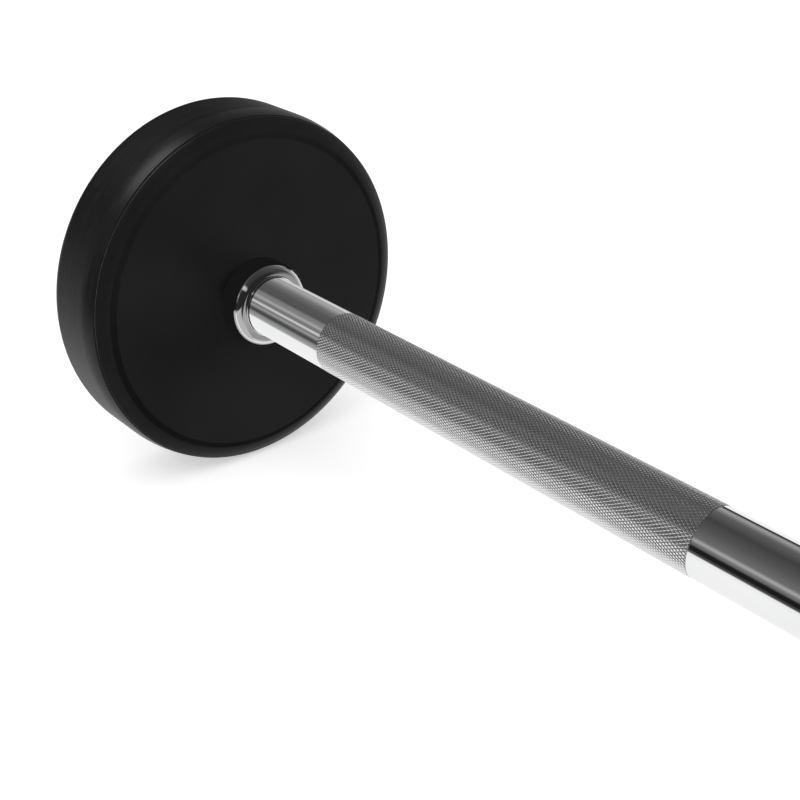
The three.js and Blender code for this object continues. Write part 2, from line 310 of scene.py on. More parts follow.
# %% [markdown]
# ## The collars
# A thick chromed ring stands out from the head's inner face, well rounded in front, and a thinner
# sleeve behind it goes into the head. The front edge is one large bevel.

# %% Collars
COLLAR_STEPS = 160
COLLAR_FRONT_ROUND = 4.7 * MM
COLLAR_MOUTH = 0.7 * MM
right_collar = turn(
    "right_collar",
    [
        (COLLAR_FRONT, COLLAR_BORE),
        (COLLAR_FRONT, COLLAR_RADIUS),
        (FACE - GAP, COLLAR_RADIUS),
        (FACE - GAP, SLEEVE_RADIUS),
        (SHOULDER, SLEEVE_RADIUS),
        (SHOULDER, COLLAR_BORE),
        (COLLAR_FRONT, COLLAR_BORE),
    ],
    COLLAR_STEPS,
)
round_ring(right_collar, COLLAR_FRONT, COLLAR_RADIUS, COLLAR_FRONT_ROUND, segments=10)
round_ring(right_collar, COLLAR_FRONT, COLLAR_BORE, COLLAR_MOUTH, segments=3)
smooth(right_collar)
report(right_collar)

# %% [markdown]
# ## The rubber jackets
# Black rubber is moulded round the iron core. Both rims are rounded, and the outer face has a shallow
# sunk panel. The inner rim is a broad shoulder, on which the two parts of the mould meet: their seam is a
# fine groove with a low bead beside it. Up to the seam the shoulder is part of an ellipse, given by pairs
# of an angle round it and a height over it in millimetres. Beyond the seam it eases into the wall. Inside,
# the jacket follows the core, with two ribs that lock into its grooves.

# %% Jackets
HEAD_STEPS = 288
SHOULDER_LENGTH = 7.5 * MM
SHOULDER_RISE = 12.5 * MM
OUTER_EDGE_ROUND = 6.5 * MM
SHOULDER_POINTS = [
    (0, 0), (6, 0), (12, 0), (18, 0), (24, 0), (30, 0), (36, 0), (42, 0), (46, 0.02), (49, 0.07),
    (51, 0.13), (53, 0.15), (55, 0.11), (56, 0), (58, -0.5), (60, -0.05), (61, 0),
]  # fmt: skip
SHOULDER_TAIL = 9 * MM
TAIL_STEPS = 8
PANEL_OUTER = 70 * MM
PANEL_INNER = 31 * MM
PANEL_DEPTH = 1.2 * MM
PANEL_SLOPE = 1.6 * MM
PANEL_EDGE_ROUND = 0.8 * MM
RUBBER_ROUND_CORE = 6 * MM
RUBBER_OVER_FACES = 5 * MM
CORE_RADIUS = HEAD_RADIUS - RUBBER_ROUND_CORE
CORE_FIRST = FACE + RUBBER_OVER_FACES
CORE_LAST = OUTER_FACE - RUBBER_OVER_FACES
CORE_CHAMFER = 2.5 * MM
GROOVE_SHARES = (1 / 3, 2 / 3)
GROOVE_DEPTH = 3 * MM
GROOVE_HALF_WIDTH = 3 * MM
RIB_HALF_WIDTH = GROOVE_HALF_WIDTH - GAP
SLEEVE_HOLE = SLEEVE_RADIUS + GAP
SLEEVE_HOLE_ROUND = 0.5 * MM
PLUG_SEAT_RADIUS = PLUG_RADIUS + GAP

core_side = [(CORE_FIRST, CORE_RADIUS - CORE_CHAMFER), (CORE_FIRST + CORE_CHAMFER, CORE_RADIUS)]
for share in GROOVE_SHARES:
    middle = CORE_FIRST + (CORE_LAST - CORE_FIRST) * share
    core_side += [
        (middle - RIB_HALF_WIDTH, CORE_RADIUS),
        (middle - RIB_HALF_WIDTH, CORE_RADIUS - GROOVE_DEPTH),
        (middle + RIB_HALF_WIDTH, CORE_RADIUS - GROOVE_DEPTH),
        (middle + RIB_HALF_WIDTH, CORE_RADIUS),
    ]
core_side += [(CORE_LAST - CORE_CHAMFER, CORE_RADIUS), (CORE_LAST, CORE_RADIUS - CORE_CHAMFER)]

shoulder = []
for turned, raised in SHOULDER_POINTS:
    along, out = math.cos(math.radians(turned)), math.sin(math.radians(turned))
    depth = SHOULDER_LENGTH * (1 - along) - raised * MM * along
    shoulder.append((FACE + depth, HEAD_RADIUS - SHOULDER_RISE * (1 - out) + raised * MM * out))
seam_along, seam_radius = shoulder[-1]
for step in range(1, TAIL_STEPS + 1):
    share = step / TAIL_STEPS
    left_over = (HEAD_RADIUS - seam_radius) * (1 - share) ** 2
    shoulder.append((seam_along + SHOULDER_TAIL * share, HEAD_RADIUS - left_over))

right_jacket = turn(
    "right_jacket",
    [
        (FACE, SLEEVE_HOLE),
        *shoulder,
        (OUTER_FACE, HEAD_RADIUS),
        (OUTER_FACE, PANEL_OUTER),
        (OUTER_FACE - PANEL_DEPTH, PANEL_OUTER - PANEL_SLOPE),
        (OUTER_FACE - PANEL_DEPTH, PANEL_INNER + PANEL_SLOPE),
        (OUTER_FACE, PANEL_INNER),
        (OUTER_FACE, PLUG_SEAT_RADIUS),
        (PLUG_SEAT - GAP, PLUG_SEAT_RADIUS),
        (PLUG_SEAT - GAP, POCKET_RADIUS),
        (CORE_LAST, POCKET_RADIUS),
        *reversed(core_side),
        (CORE_FIRST, SLEEVE_HOLE),
        (FACE, SLEEVE_HOLE),
    ],
    HEAD_STEPS,
)
round_ring(right_jacket, OUTER_FACE, HEAD_RADIUS, OUTER_EDGE_ROUND, segments=10)
round_ring(right_jacket, OUTER_FACE, PANEL_OUTER, PANEL_EDGE_ROUND, segments=3)
round_ring(right_jacket, OUTER_FACE, PANEL_INNER, PANEL_EDGE_ROUND, segments=3)
round_ring(right_jacket, FACE, SLEEVE_HOLE, SLEEVE_HOLE_ROUND, segments=3)
smooth(right_jacket)
report(right_jacket)

# %% [markdown]
# ## The end plugs
# A moulded cap closes the pocket of the clamping screw. It has a slightly crowned top, a lip that
# fills its seat, and a skirt that grips the pocket.

# %% End plugs
PLUG_STEPS = 160
PLUG_CROWN = 0.9 * MM
PLUG_EDGE_WIDTH = 1 * MM
PLUG_EDGE_ROUND = 0.9 * MM
SKIRT_LENGTH = 6 * MM
SKIRT_END = PLUG_SEAT - SKIRT_LENGTH
SKIRT_OUTER = POCKET_RADIUS - GAP
SKIRT_WALL = 2 * MM
SKIRT_INNER = SKIRT_OUTER - SKIRT_WALL
WEB_DEPTH = 2.2 * MM
PLUG_WEB = PLUG_SEAT - WEB_DEPTH
CROWN_STEPS = 8

crown = []
for step in range(CROWN_STEPS + 1):
    share = 1 - step / CROWN_STEPS
    crown.append((OUTER_FACE - PLUG_CROWN * share**2, (PLUG_RADIUS - PLUG_EDGE_WIDTH) * share))
right_plug = turn(
    "right_plug",
    [
        (PLUG_WEB, 0),
        (PLUG_WEB, SKIRT_INNER),
        (SKIRT_END, SKIRT_INNER),
        (SKIRT_END, SKIRT_OUTER),
        (PLUG_SEAT, SKIRT_OUTER),
        (PLUG_SEAT, PLUG_RADIUS),
        (OUTER_FACE - PLUG_CROWN, PLUG_RADIUS),
        *crown,
    ],
    PLUG_STEPS,
)
round_ring(right_plug, OUTER_FACE - PLUG_CROWN, PLUG_RADIUS, PLUG_EDGE_ROUND, segments=6)
smooth(right_plug)
report(right_plug)


# %% [markdown]
# ## The left end
# Both ends are alike. Each piece is copied with its own mesh and turned half a turn about Z.


# %% Copies for the left end
def other_end(piece):
    """A copy of a right-hand piece, turned to the left end."""
    only(piece)
    bpy.ops.object.duplicate()
    copy = bpy.context.object
    copy.name = copy.data.name = piece.name.replace("right", "left")
    bpy.ops.object.mode_set(mode="EDIT")
    bpy.ops.mesh.select_all(action="SELECT")
    bpy.ops.transform.rotate(value=math.pi, orient_axis="Z", center_override=(0, 0, 0))
    bpy.ops.object.mode_set(mode="OBJECT")
    print("copied", piece.name, "to", copy.name)
    return copy


left_knurl = other_end(right_knurl)
left_collar = other_end(right_collar)
left_jacket = other_end(right_jacket)
left_plug = other_end(right_plug)

# %% [markdown]
# ## Finishes
# None of these surfaces is one flat colour. Each finish is built from a few small effects, and an
# effect that several finishes share is a node group: built once, then placed in each material with
# its own numbers. Lengths inside the groups are in millimetres, measured on the object itself, so a
# pattern stays where it is when the barbell is moved.


# %% Node helpers
def put(tree, kind, inputs=None, **settings):
    """Adds a shader node, sets its properties, and fills its inputs with values or with other sockets."""
    node = tree.nodes.new("ShaderNode" + kind)
    for name, value in settings.items():
        setattr(node, name, value)
    for name, value in (inputs or {}).items():
        if isinstance(value, bpy.types.NodeSocket):
            tree.links.new(value, node.inputs[name])
        else:
            node.inputs[name].default_value = value
    return node


def math_node(tree, operation, first, second=0.0):
    """One step of arithmetic, as a socket."""
    return put(tree, "Math", {0: first, 1: second}, operation=operation).outputs[0]


def spread(tree, value, low, high, to_low, to_high):
    """Stretches the part of a value between low and high over a new range, and clamps it."""
    ranges = {"Value": value, "From Min": low, "From Max": high, "To Min": to_low, "To Max": to_high}
    return put(tree, "MapRange", ranges, clamp=True).outputs["Result"]


def effect(name, inputs, outputs):
    """An empty node group with number sockets, and its two end nodes."""
    tree = bpy.data.node_groups.new(name, "ShaderNodeTree")
    for label, value in inputs.items():
        socket = tree.interface.new_socket(label, in_out="INPUT", socket_type="NodeSocketFloat")
        socket.default_value = value
    for label in outputs:
        tree.interface.new_socket(label, in_out="OUTPUT", socket_type="NodeSocketFloat")
    return tree, tree.nodes.new("NodeGroupInput"), tree.nodes.new("NodeGroupOutput")


def use(tree, group, **inputs):
    """Places an effect in a material with its own numbers."""
    node = tree.nodes.new("ShaderNodeGroup")
    node.node_tree = group
    for name, value in inputs.items():
        node.inputs[name.capitalize()].default_value = value
    return node


# %% [markdown]
# ### Where a point is on a turned piece
# Every modelled piece is round about X, so wear and tool marks are easiest to place by radius and by
# angle. This effect turns Object coordinates into those two numbers.

# %% Turned place
turned_place, _, ends = effect("turned place", {}, ["Radius", "Angle"])
place = put(turned_place, "TexCoord")
parts = put(turned_place, "SeparateXYZ", {0: place.outputs["Object"]})
flat = put(turned_place, "CombineXYZ", {"Y": parts.outputs["Y"], "Z": parts.outputs["Z"]})
metres = put(turned_place, "VectorMath", {0: flat.outputs[0]}, operation="LENGTH").outputs["Value"]
angle = math_node(turned_place, "ARCTAN2", parts.outputs["Y"], parts.outputs["Z"])
turned_place.links.new(math_node(turned_place, "DIVIDE", metres, MM), ends.inputs["Radius"])
turned_place.links.new(angle, ends.inputs["Angle"])
print("effect:", turned_place.name)

# %% [markdown]
# ### Clouds, grain and streaks
# Clouds are soft patches, as on handled rubber or on plate with a little haze. Grain is the fine skin
# that a mould or a sand casting leaves. Streaks are thin scratches: contour lines of a soft noise that
# is drawn out along the bar, or round it, depending on which of its two lengths is the longer.

# %% Clouds
MIDDLE_OF_NOISE = 0.5
CLOUD_REACH = 0.2
clouds, given, ends = effect("clouds", {"Size": 20, "Low": 0, "High": 1}, ["Value"])
place = put(clouds, "TexCoord")
density = math_node(clouds, "DIVIDE", 1 / MM, given.outputs["Size"])
noise = put(clouds, "TexNoise", {"Vector": place.outputs["Object"], "Scale": density, "Detail": 5})
soft = put(
    clouds,
    "MapRange",
    {
        "Value": noise.outputs["Fac"],
        "From Min": MIDDLE_OF_NOISE - CLOUD_REACH,
        "From Max": MIDDLE_OF_NOISE + CLOUD_REACH,
        "To Min": given.outputs["Low"],
        "To Max": given.outputs["High"],
    },
)
clouds.links.new(soft.outputs["Result"], ends.inputs["Value"])
print("effect:", clouds.name)

# %% Grain
PIT_SHARE = 0.5
grain, given, ends = effect("grain", {"Size": 0.5}, ["Height"])
place = put(grain, "TexCoord")
density = math_node(grain, "DIVIDE", 1 / MM, given.outputs["Size"])
cells = put(grain, "TexVoronoi", {"Vector": place.outputs["Object"], "Scale": density}, feature="SMOOTH_F1")
noise = put(grain, "TexNoise", {"Vector": place.outputs["Object"], "Scale": density, "Detail": 3})
pits = math_node(grain, "MULTIPLY", cells.outputs["Distance"], PIT_SHARE)
grain.links.new(math_node(grain, "ADD", pits, noise.outputs["Fac"]), ends.inputs["Height"])
print("effect:", grain.name)

# %% Streaks
PATCH_LEVEL = 0.52
streaks, given, ends = effect("streaks", {"Along": 30, "Round": 0.5, "Width": 0.01}, ["Mask"])
place = put(streaks, "TexCoord")
parts = put(streaks, "SeparateXYZ", {0: place.outputs["Object"]})
long = math_node(streaks, "MULTIPLY", given.outputs["Along"], MM)
along = math_node(streaks, "DIVIDE", parts.outputs["X"], long)
wide = math_node(streaks, "MULTIPLY", given.outputs["Round"], MM)
across = math_node(streaks, "DIVIDE", parts.outputs["Y"], wide)
upward = math_node(streaks, "DIVIDE", parts.outputs["Z"], wide)
drawn = put(streaks, "CombineXYZ", {"X": along, "Y": across, "Z": upward})
wander = put(streaks, "TexNoise", {"Vector": drawn.outputs[0], "Scale": 1, "Detail": 1})
above = math_node(streaks, "SUBTRACT", wander.outputs["Fac"], MIDDLE_OF_NOISE)
away = math_node(streaks, "ABSOLUTE", above)
fade = {"Value": away, "From Max": given.outputs["Width"], "To Min": 1, "To Max": 0}
line = put(streaks, "MapRange", fade)
patchy = put(streaks, "TexNoise", {"Vector": drawn.outputs[0], "Scale": 0.4})
broken = math_node(streaks, "GREATER_THAN", patchy.outputs["Fac"], PATCH_LEVEL)
streaks.links.new(math_node(streaks, "MULTIPLY", line.outputs["Result"], broken), ends.inputs["Mask"])
print("effect:", streaks.name)


# %% New material
def finish(name, metallic, specular=0.5):
    """A new material's tree and its main shader, with what is the same all over already set."""
    made = bpy.data.materials.new(name)
    made.use_nodes = True
    shader = made.node_tree.nodes["Principled BSDF"]
    shader.inputs["Metallic"].default_value = metallic
    shader.inputs["Specular IOR Level"].default_value = specular
    return made, made.node_tree, shader


def tint(tree, value, low, high):
    """A colour between two, for a value from 0 to 1."""
    mix = put(tree, "Mix", {"Factor": value}, data_type="RGBA")
    mix.inputs["A"].default_value = (*low, 1)
    mix.inputs["B"].default_value = (*high, 1)
    return mix.outputs["Result"]


def vary(tree, shader, pattern, colours, roughness):
    """Lets a pattern from 0 to 1 lead the colour, and the roughness, from its first value to its second."""
    tree.links.new(tint(tree, pattern, *colours), shader.inputs["Base Color"])
    tree.links.new(spread(tree, pattern, 0, 1, *roughness), shader.inputs["Roughness"])


def bump(tree, shader, height, depth):
    """Feeds a height, worth a depth in metres, to a shader as a bump."""
    node = put(tree, "Bump", {"Height": height, "Distance": depth, "Strength": 1})
    tree.links.new(node.outputs["Normal"], shader.inputs["Normal"])


# %% [markdown]
# ### Bright chrome
# Chrome plate on ground steel is almost a mirror. What gives it away as metal, and not as glass, is a
# trace of haze from handling and a few hairlines, so its roughness and its tone move only a little.

# %% Bright chrome
CHROME_DULL = (0.88, 0.885, 0.89)
CHROME_BRIGHT = (0.93, 0.93, 0.93)
HAIRLINE_DULLNESS = 0.12
chrome, tree, shader = finish("bright_chrome", metallic=1)
haze = use(tree, clouds, size=30, low=0, high=1).outputs["Value"]
tree.links.new(tint(tree, haze, CHROME_DULL, CHROME_BRIGHT), shader.inputs["Base Color"])
marks = use(tree, streaks, along=45, round=1.6, width=0.004).outputs["Mask"]
dull = math_node(tree, "MULTIPLY", marks, HAIRLINE_DULLNESS)
hazy = spread(tree, haze, low=0, high=1, to_low=0.03, to_high=0.06)
tree.links.new(math_node(tree, "ADD", hazy, dull), shader.inputs["Roughness"])
print("finish:", chrome.name)

# %% [markdown]
# ### Knurled chrome
# The knurl has the same plate, but its flanks keep the marks of the rolling wheel, so it is far less of a
# mirror. Sweat and chalk settle in the valleys, which are duller than the crests; their colour is darker
# both as grime and as painted shade.

# %% Knurled chrome
VALLEY_GRIME_AND_SHADE = (0.55, 0.55, 0.55)
CREST_BRIGHT = (0.93, 0.93, 0.935)
knurl_chrome, tree, shader = finish("knurled_chrome", metallic=1)
place = use(tree, turned_place)
crest = spread(tree, place.outputs["Radius"], KNURL_VALLEY / MM, KNURL_CREST / MM, 0, 1)
# Darker towards the valleys: partly grime, partly painted shade.
tree.links.new(tint(tree, crest, VALLEY_GRIME_AND_SHADE, CREST_BRIGHT), shader.inputs["Base Color"])
handled = use(tree, clouds, size=14, low=0, high=0.06).outputs["Value"]
rolled = spread(tree, crest, low=0, high=1, to_low=0.3, to_high=0.2)
tree.links.new(math_node(tree, "ADD", rolled, handled), shader.inputs["Roughness"])
bump(tree, shader, use(tree, grain, size=0.25).outputs["Height"], depth=0.01 * MM)
print("finish:", knurl_chrome.name)

# %% [markdown]
# ### Moulded rubber
# The heads are satin black. The mould gives a fine even skin, and handling leaves faint cloudy patches.
# The rims touch the floor and the rack, so they carry pale scuffs that follow the way the head rolls.

# %% Moulded rubber
HANDLED_SHARE = 0.7
SPECK_SHARE = 0.3
RUBBER_DARK = (0.0045, 0.0045, 0.0046)
RUBBER_PALE = (0.0065, 0.0065, 0.0066)
SCUFF_COLOUR = (0.03, 0.03, 0.03, 1)
SCUFF_BAND = 3 * MM
SCUFF_RIM = 0.2 * MM
SCUFF_STRENGTH = 0.5
rubber, tree, shader = finish("moulded_rubber", metallic=0, specular=0.2)
place = use(tree, turned_place)
handled = use(tree, clouds, size=38, low=0, high=1).outputs["Value"]
speck = use(tree, clouds, size=3, low=0, high=1).outputs["Value"]
handled = math_node(tree, "MULTIPLY", handled, HANDLED_SHARE)
speck = math_node(tree, "MULTIPLY", speck, SPECK_SHARE)
mottle = math_node(tree, "ADD", handled, speck)
black = tint(tree, mottle, RUBBER_DARK, RUBBER_PALE)
band_start = (HEAD_RADIUS - SCUFF_BAND) / MM
rim_start = (HEAD_RADIUS - SCUFF_RIM) / MM
rim = spread(tree, place.outputs["Radius"], band_start, rim_start, 0, 1)
scuffs = use(tree, streaks, along=0.8, round=22, width=0.03).outputs["Mask"]
scuffed = math_node(tree, "MULTIPLY", math_node(tree, "MULTIPLY", rim, scuffs), SCUFF_STRENGTH)
worn = put(tree, "Mix", {"Factor": scuffed, "A": black}, data_type="RGBA")
worn.inputs["B"].default_value = SCUFF_COLOUR
tree.links.new(worn.outputs["Result"], shader.inputs["Base Color"])
satin = spread(tree, mottle, low=0, high=1, to_low=0.31, to_high=0.38)
tree.links.new(satin, shader.inputs["Roughness"])
bump(tree, shader, use(tree, grain, size=0.45).outputs["Height"], depth=0.01 * MM)
print("finish:", rubber.name)

# %% [markdown]
# ### Cast iron, machined steel, black oxide and plastic
# The core is rough sand-cast iron. Washers, keys and pins show the rings of a lathe tool. The clamping
# screw is blackened, and the end plug is moulded plastic with a skin finer than the rubber's.

# %% Inner finishes
RING_PITCH = 0.35 * MM
iron, tree, shader = finish("cast_iron", metallic=0.7)
mottle = use(tree, clouds, size=9, low=0, high=1).outputs["Value"]
vary(tree, shader, mottle, colours=((0.035, 0.033, 0.031), (0.075, 0.07, 0.066)), roughness=(0.8, 0.62))
bump(tree, shader, use(tree, grain, size=1.1).outputs["Height"], depth=0.15 * MM)

steel, tree, shader = finish("machined_steel", metallic=1)
radius = use(tree, turned_place).outputs["Radius"]
turns = math_node(tree, "MULTIPLY", radius, math.tau * MM / RING_PITCH)
rings = math_node(tree, "SINE", turns)
stain = use(tree, clouds, size=6, low=0, high=1).outputs["Value"]
vary(tree, shader, stain, colours=((0.33, 0.33, 0.34), (0.46, 0.455, 0.45)), roughness=(0.28, 0.42))
bump(tree, shader, rings, depth=0.004 * MM)

oxide, tree, shader = finish("black_oxide", metallic=0.85)
patch = use(tree, clouds, size=2.5, low=0, high=1).outputs["Value"]
vary(tree, shader, patch, colours=((0.035, 0.038, 0.044), (0.085, 0.088, 0.092)), roughness=(0.38, 0.55))
bump(tree, shader, use(tree, grain, size=0.3).outputs["Height"], depth=0.01 * MM)

plastic, tree, shader = finish("moulded_plastic", metallic=0)
mottle = use(tree, clouds, size=12, low=0, high=1).outputs["Value"]
vary(tree, shader, mottle, colours=((0.004, 0.004, 0.0042), (0.008, 0.008, 0.0084)), roughness=(0.36, 0.48))
bump(tree, shader, use(tree, grain, size=0.3).outputs["Height"], depth=0.015 * MM)
print("finishes:", ", ".join(made.name for made in (iron, steel, oxide, plastic)))

# %% [markdown]
# ## Dressing
# Each modelled piece now gets its finish and the body that it moves with, and the plain solid that it
# stands for is hidden. The pieces inside the heads keep their solids.


# %% Dressing
def dress(piece, look, slot, *stands_for):
    """Gives a modelled piece its finish, its place on the frame and the nodes that it stands for."""
    piece.data.materials.clear()
    piece.data.materials.append(look)
    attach(piece, "root")
    if stands_for:
        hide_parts(*stands_for)


INNER_FINISHES = {
    "spring_pin": steel,
    "iron_core": iron,
    "core_key": steel,
    "end_washer": steel,
    "lock_washer": steel,
    "cap_screw": oxide,
}
unmirrored = [left_jacket, right_jacket, left_plug, right_plug, left_collar, right_collar]
dress(shaft, chrome, "bar_chrome", "bar")
for side, knurl, collar, jacket, plug in (
    ("right", right_knurl, right_collar, right_jacket, right_plug),
    ("left", left_knurl, left_collar, left_jacket, left_plug),
):
    dress(knurl, knurl_chrome, "bar_chrome")
    dress(collar, chrome, "collar_chrome", f"{side}_inner_collar")
    dress(jacket, rubber, "head_rubber", f"{side}_rubber_jacket")
    dress(plug, plastic, "plug_plastic", f"{side}_end_plug")
    for part, look in INNER_FINISHES.items():
        inner = nodes[f"{side}_{part}"]
        inner.data.materials.clear()
        inner.data.materials.append(look)
        unmirrored.append(inner)
print("dressed", len(nodes), "nodes")

# %% [markdown]
# ## The studio
# The barbell lies on a white table in a dim room. The floor is white to the camera and keeps the soft
# shadow under the heads. One large soft lamp lights everything from above.

# %% Floor
FLOOR_SIDE = 12
FLOOR_GLOW = 0.5
bpy.ops.object.select_all(action="DESELECT")
bpy.ops.mesh.primitive_plane_add(size=FLOOR_SIDE, location=(0, 0, -HEAD_RADIUS))
floor = bpy.context.object
floor.name = "floor"
floor.visible_glossy = False
table, tree, shader = finish("white_table", metallic=0, specular=0)
shader.inputs["Base Color"].default_value = (0.9, 0.9, 0.9, 1)
shader.inputs["Roughness"].default_value = 1
shader.inputs["Emission Color"].default_value = (1, 1, 1, 1)
path = put(tree, "LightPath")
glow = math_node(tree, "MULTIPLY", path.outputs["Is Camera Ray"], FLOOR_GLOW)
tree.links.new(glow, shader.inputs["Emission Strength"])
floor.data.materials.append(table)
print("floor", FLOOR_SIDE, "m wide, under the heads at", round(floor.location.z, 4))

# %% [markdown]
# ## What the chrome sees
# Chrome has no colour of its own: it shows the room. On a bar, each direction round the bar becomes
# one stripe along it, so the room is written as stripes too: pairs of an angle and a brightness. The
# angle turns round the bar from the horizon on the camera's side, at 0, over the top, at 90, to the
# horizon behind, at 180. White table lies below both horizons, and a strip light stands low on the
# camera's side. The stripes differ along the bar, so each list holds for a range of its own: the share
# of a direction that points along the bar, from -1 at the left end to 1 at the right. Between two
# ranges, one list fades into the next. In the photograph's view the rubber rim sees the first list, and
# the neck, the knurl and the bar's middle see one each. The last three lie behind the camera and
# far to the right, where it is dark, apart from the table and the end of the strip light.

# %% Room
OVER_HEAD = [
    (-90, 0.9), (-60, 0.8), (-30, 0.7), (-12, 0.5), (3, 0.25), (18, 0.03), (47, 0.0), (62, 0.08),
    (105, 0.08), (118, 0.01), (150, 0), (180, 0.02), (225, 0.5),
]  # fmt: skip
BESIDE_NECK = [
    (-90, 0.95), (-38, 0.95), (-31, 0.38), (-18, 0.28), (-8, 0.055), (0, 0.1), (9, 0.36), (13, 0.22),
    (18, 0.22), (24, 0.72), (31, 0.2), (38, 0.2), (46, 0.42), (55, 0.24), (66, 0.21), (74, 0.09),
    (100, 0.1), (125, 0.17), (152, 0.4), (169, 0.36), (177, 0.75), (210, 0.4), (235, 0.95),
]  # fmt: skip
BESIDE_KNURL = [
    (-90, 1), (-28, 1), (-20, 0.85), (-12, 0.2), (-5, 0.04), (5, 0.04), (12, 0.08), (22, 0.22), (31, 0.08),
    (46, 0.13), (60, 0.1), (74, 0.07), (100, 0.07), (125, 0.13), (150, 0.45), (169, 0.3), (177, 0.95),
]  # fmt: skip
BESIDE_MIDDLE = [
    (-90, 0.95), (-30, 0.97), (-18, 0.9), (-15, 0.08), (-9, 0.05), (-7, 0.012), (4, 0.012), (9, 0.14),
    (15, 0.19), (22, 0.42), (31, 0.16), (60, 0.095), (95, 0.055), (130, 0.12), (150, 0.36), (158, 0.2),
    (161, 0.02), (168, 0.02), (171, 0.95),
]  # fmt: skip
BEHIND_CAMERA = [
    (-90, 0.5), (-13, 0.5), (-11, 0.03), (30, 0.02), (37, 0.04), (41, 0.6), (46, 0.6), (51, 0.05),
    (90, 0.05), (120, 0.07), (150, 0.15), (190, 0.5), (225, 0.7),
]  # fmt: skip
FAR_RIGHT = [
    (-90, 0.5), (-13, 0.5), (-11, 0.02), (30, 0.02), (37, 0.03), (41, 0.5), (46, 0.5), (51, 0.04),
    (90, 0.04), (130, 0.06), (170, 0.05), (195, 0.3), (240, 0.3),
]  # fmt: skip
RIGHT_HEAD = [(-90, 0.4), (-65, 0.4), (-50, 0.02), (190, 0.02), (205, 0.3), (240, 0.4)]
RANGES = [
    (-1, -0.79, OVER_HEAD),
    (-0.778, -0.71, BESIDE_NECK),
    (-0.65, -0.53, BESIDE_KNURL),
    (-0.47, -0.1, BESIDE_MIDDLE),
    (0.12, 0.3, BEHIND_CAMERA),
    (0.55, 0.72, FAR_RIGHT),
    (0.88, 1, RIGHT_HEAD),
]
TURN = 360
STRAIGHT_DOWN = -90


def stripes(tree, position, panels):
    """A colour ramp of the room's stripes, read at a position from 0 to 1 round the bar."""
    ramp = put(tree, "ValToRGB", {"Fac": position})
    elements = ramp.color_ramp.elements
    elements.remove(elements[1])
    for number, (angle, bright) in enumerate(panels):
        turned = (angle - STRAIGHT_DOWN) / TURN
        element = elements[0] if number == 0 else elements.new(turned)
        element.position = turned
        element.color = (bright, bright, bright, 1)
    return ramp.outputs["Color"]


world = bpy.data.worlds.new("studio")
bpy.context.scene.world = world
world.use_nodes = True
tree = world.node_tree
tree.nodes.clear()
ray = put(tree, "TexCoord")
parts = put(tree, "SeparateXYZ", {0: ray.outputs["Generated"]})
round_bar = math_node(tree, "ARCTAN2", parts.outputs["Y"], parts.outputs["Z"])
position = spread(tree, round_bar, -math.pi, math.pi, 0, 1)
_, fade_start, first_panels = RANGES[0]
room = stripes(tree, position, first_panels)
for first, last, panels in RANGES[1:]:
    colour = stripes(tree, position, panels)
    share = spread(tree, parts.outputs["X"], fade_start, first, 0, 1)
    blend = put(tree, "Mix", {"Factor": share, "A": room, "B": colour}, data_type="RGBA")
    room = blend.outputs["Result"]
    fade_start = last
print("room:", len(RANGES), "lists of stripes")

# %% [markdown]
# ## Three skies in one
# The room above is only for mirror rays. Soft light on the rubber comes from a plain even sky, and the
# camera itself sees pure white behind the barbell. Light Path tells the three kinds of ray apart.

# %% World
SKY_LIGHT = 0.6
path = put(tree, "LightPath")
mirrored = put(tree, "Background", {"Color": room})
even = put(tree, "Background", {"Strength": SKY_LIGHT})
white = put(tree, "Background", {"Strength": 1.0})
for plain in (even, white):
    plain.inputs["Color"].default_value = (1, 1, 1, 1)
glossy_ray = path.outputs["Is Glossy Ray"]
camera_ray = path.outputs["Is Camera Ray"]
unseen = put(tree, "MixShader", {0: glossy_ray, 1: even.outputs[0], 2: mirrored.outputs[0]})
whole = put(tree, "MixShader", {0: camera_ray, 1: unseen.outputs[0], 2: white.outputs[0]})
put(tree, "OutputWorld", {"Surface": whole.outputs[0]})
print("world: a room for mirror rays, an even sky for soft light, white for the camera")

# %% [markdown]
# ## Flags
# A photographer keeps black off bright metal, or brings it in, with cards called flags. The heads and
# collars are hidden from mirror rays, so that the necks stay bright. In their place, a ring just under each
# head's inner face paints the dark reflection that the rubber would give the collar's side wall: only
# mirror rays see it, and it glows a faint dark grey. It ends the rays that come from less than its range
# away. Further out from the bar its range grows, which takes in the rays from the collar's rounded front
# but lets the neck's longer ones through. Those from the front find a pale glowing band in the lower half,
# a painted reflection, where the collar is light in the photograph.

# %% Flags
FLAG_RADIUS = 78 * MM
FLAG_RANGE = 18.5 * MM
FLAG_SINK = 0.05 * MM
FLAG_START = 17 * MM
FLAG_SPREAD = 0.75
FLAG_PAINTED_DARK = 0.009
FLAG_PAINTED_PALE = 0.46
PAINTED_PALE_START = 95
right_flag = turn(
    "right_flag",
    [(FACE + FLAG_SINK, SLEEVE_RADIUS + GAP), (FACE + FLAG_SINK, FLAG_RADIUS)],
    COLLAR_STEPS,
)
left_painted_reflection = other_end(right_flag)
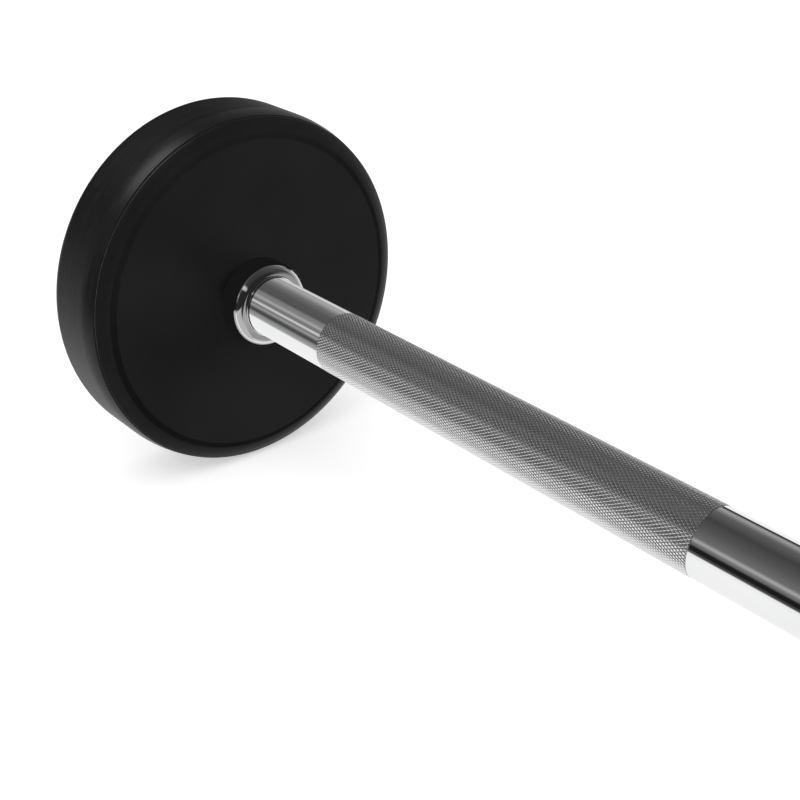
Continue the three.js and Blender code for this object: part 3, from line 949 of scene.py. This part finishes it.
# The ring's glow is a painted reflection: nearly black, and pale in its lower half for rays from the
# collar's front.
painted_reflection, tree, shader = finish("painted_reflection_card", metallic=0, specular=0)
shader.inputs["Base Color"].default_value = (0, 0, 0, 1)
shader.inputs["Emission Color"].default_value = (1, 1, 1, 1)
place = use(tree, turned_place)
path = put(tree, "LightPath")
length = path.outputs["Ray Length"]
beyond = math_node(tree, "SUBTRACT", place.outputs["Radius"], FLAG_START / MM)
grown = math_node(tree, "MULTIPLY", beyond, MM / FLAG_SPREAD)
least = math_node(tree, "MAXIMUM", grown, FLAG_RANGE)
turned = math_node(tree, "ABSOLUTE", place.outputs["Angle"])
below = math_node(tree, "GREATER_THAN", turned, math.radians(PAINTED_PALE_START))
from_front = math_node(tree, "GREATER_THAN", length, FLAG_RANGE)
painted_pale_band = math_node(tree, "MULTIPLY", below, from_front)
# Painted reflection: the emission is dark or pale, chosen by angle and ray length.
tree.links.new(spread(tree, painted_pale_band, 0, 1, FLAG_PAINTED_DARK, FLAG_PAINTED_PALE), shader.inputs["Emission Strength"])
far = math_node(tree, "GREATER_THAN", length, least)
clear = put(tree, "BsdfTransparent")
cut = put(tree, "MixShader", {0: far, 1: shader.outputs[0], 2: clear.outputs[0]})
tree.links.new(cut.outputs[0], tree.nodes["Material Output"].inputs["Surface"])
for flag in (right_flag, left_painted_reflection):
    flag.data.materials.append(painted_reflection)
    flag.visible_camera = False
    flag.visible_diffuse = False
    flag.visible_shadow = False
for piece in unmirrored:
    piece.visible_glossy = False
print("flags under both heads,", len(unmirrored), "pieces hidden from mirror rays")

# %% [markdown]
# ## Lamps
# Black rubber only shows its shape through lamps that it mirrors softly. Three soft boxes stand round
# the left head: one along the bar lights its inner face, one overhead draws a sheen along the
# shoulder, and a general one fills in. The first two are linked to the rubber alone, as if flags kept
# them off the chrome. Only the one overhead is mirrored itself.

# %% Lamps
rubber_only = bpy.data.collections.new("rubber_only")
for jacket in (left_jacket, right_jacket):
    rubber_only.objects.link(jacket)


def soft_box(name, place, aim, width, depth, power, receivers=None):
    """An area lamp at one place, turned towards another."""
    bpy.ops.object.light_add(type="AREA", location=place)
    box = bpy.context.object
    box.name = name
    box.data.shape = "RECTANGLE"
    box.data.size, box.data.size_y = width, depth
    box.data.energy = power
    box.rotation_euler = (Vector(place) - Vector(aim)).to_track_quat("Z", "Y").to_euler()
    box.light_linking.receiver_collection = receivers
    return box


LEFT_HEAD = (-FACE, 0, 0)
MIDDLE = (0, 0, 0)
SHOULDER_TOP = (-0.485, -0.045, 0.07)
fill_box = soft_box("fill_box", (0.3, -0.9, 1.8), aim=MIDDLE, width=2, depth=2, power=15)
face_box = soft_box(
    "face_box",
    (1.5, 0.8, 0.15),
    aim=LEFT_HEAD,
    width=1,
    depth=1,
    power=60,
    receivers=rubber_only,
)
soft_box(
    "sheen_box",
    (-0.485, -0.225, 0.62),
    aim=SHOULDER_TOP,
    width=0.91,
    depth=0.36,
    power=4.3,
    receivers=rubber_only,
)
for hidden_box in (fill_box, face_box):
    hidden_box.visible_glossy = False

# %% [markdown]
# ## Camera
# The photograph looks down on the left end from in front and to the right. The lens is shifted: its axis
# meets the picture a little below the middle, which is what the photograph's outlines ask for.

# %% Camera
FRAME_SIDE = 800
FOCAL_PIXELS = 1278
SENSOR = 36
LENS_SHIFT = 0.15
CAMERA_PLACE = (-0.0202, -0.3134, 0.2451)
CAMERA_HEIGHT_ANGLE = 33.17
CAMERA_SIDE_ANGLE = 50
bpy.ops.object.camera_add(
    location=CAMERA_PLACE,
    rotation=(math.radians(90 - CAMERA_HEIGHT_ANGLE), 0, math.radians(CAMERA_SIDE_ANGLE)),
)
camera = bpy.context.object
camera.data.sensor_width = SENSOR
camera.data.lens = SENSOR * FOCAL_PIXELS / FRAME_SIDE
camera.data.shift_y = LENS_SHIFT
bpy.context.scene.camera = camera
bpy.context.scene.view_settings.view_transform = "Standard"
print("camera with a lens of", round(camera.data.lens, 1), "mm")
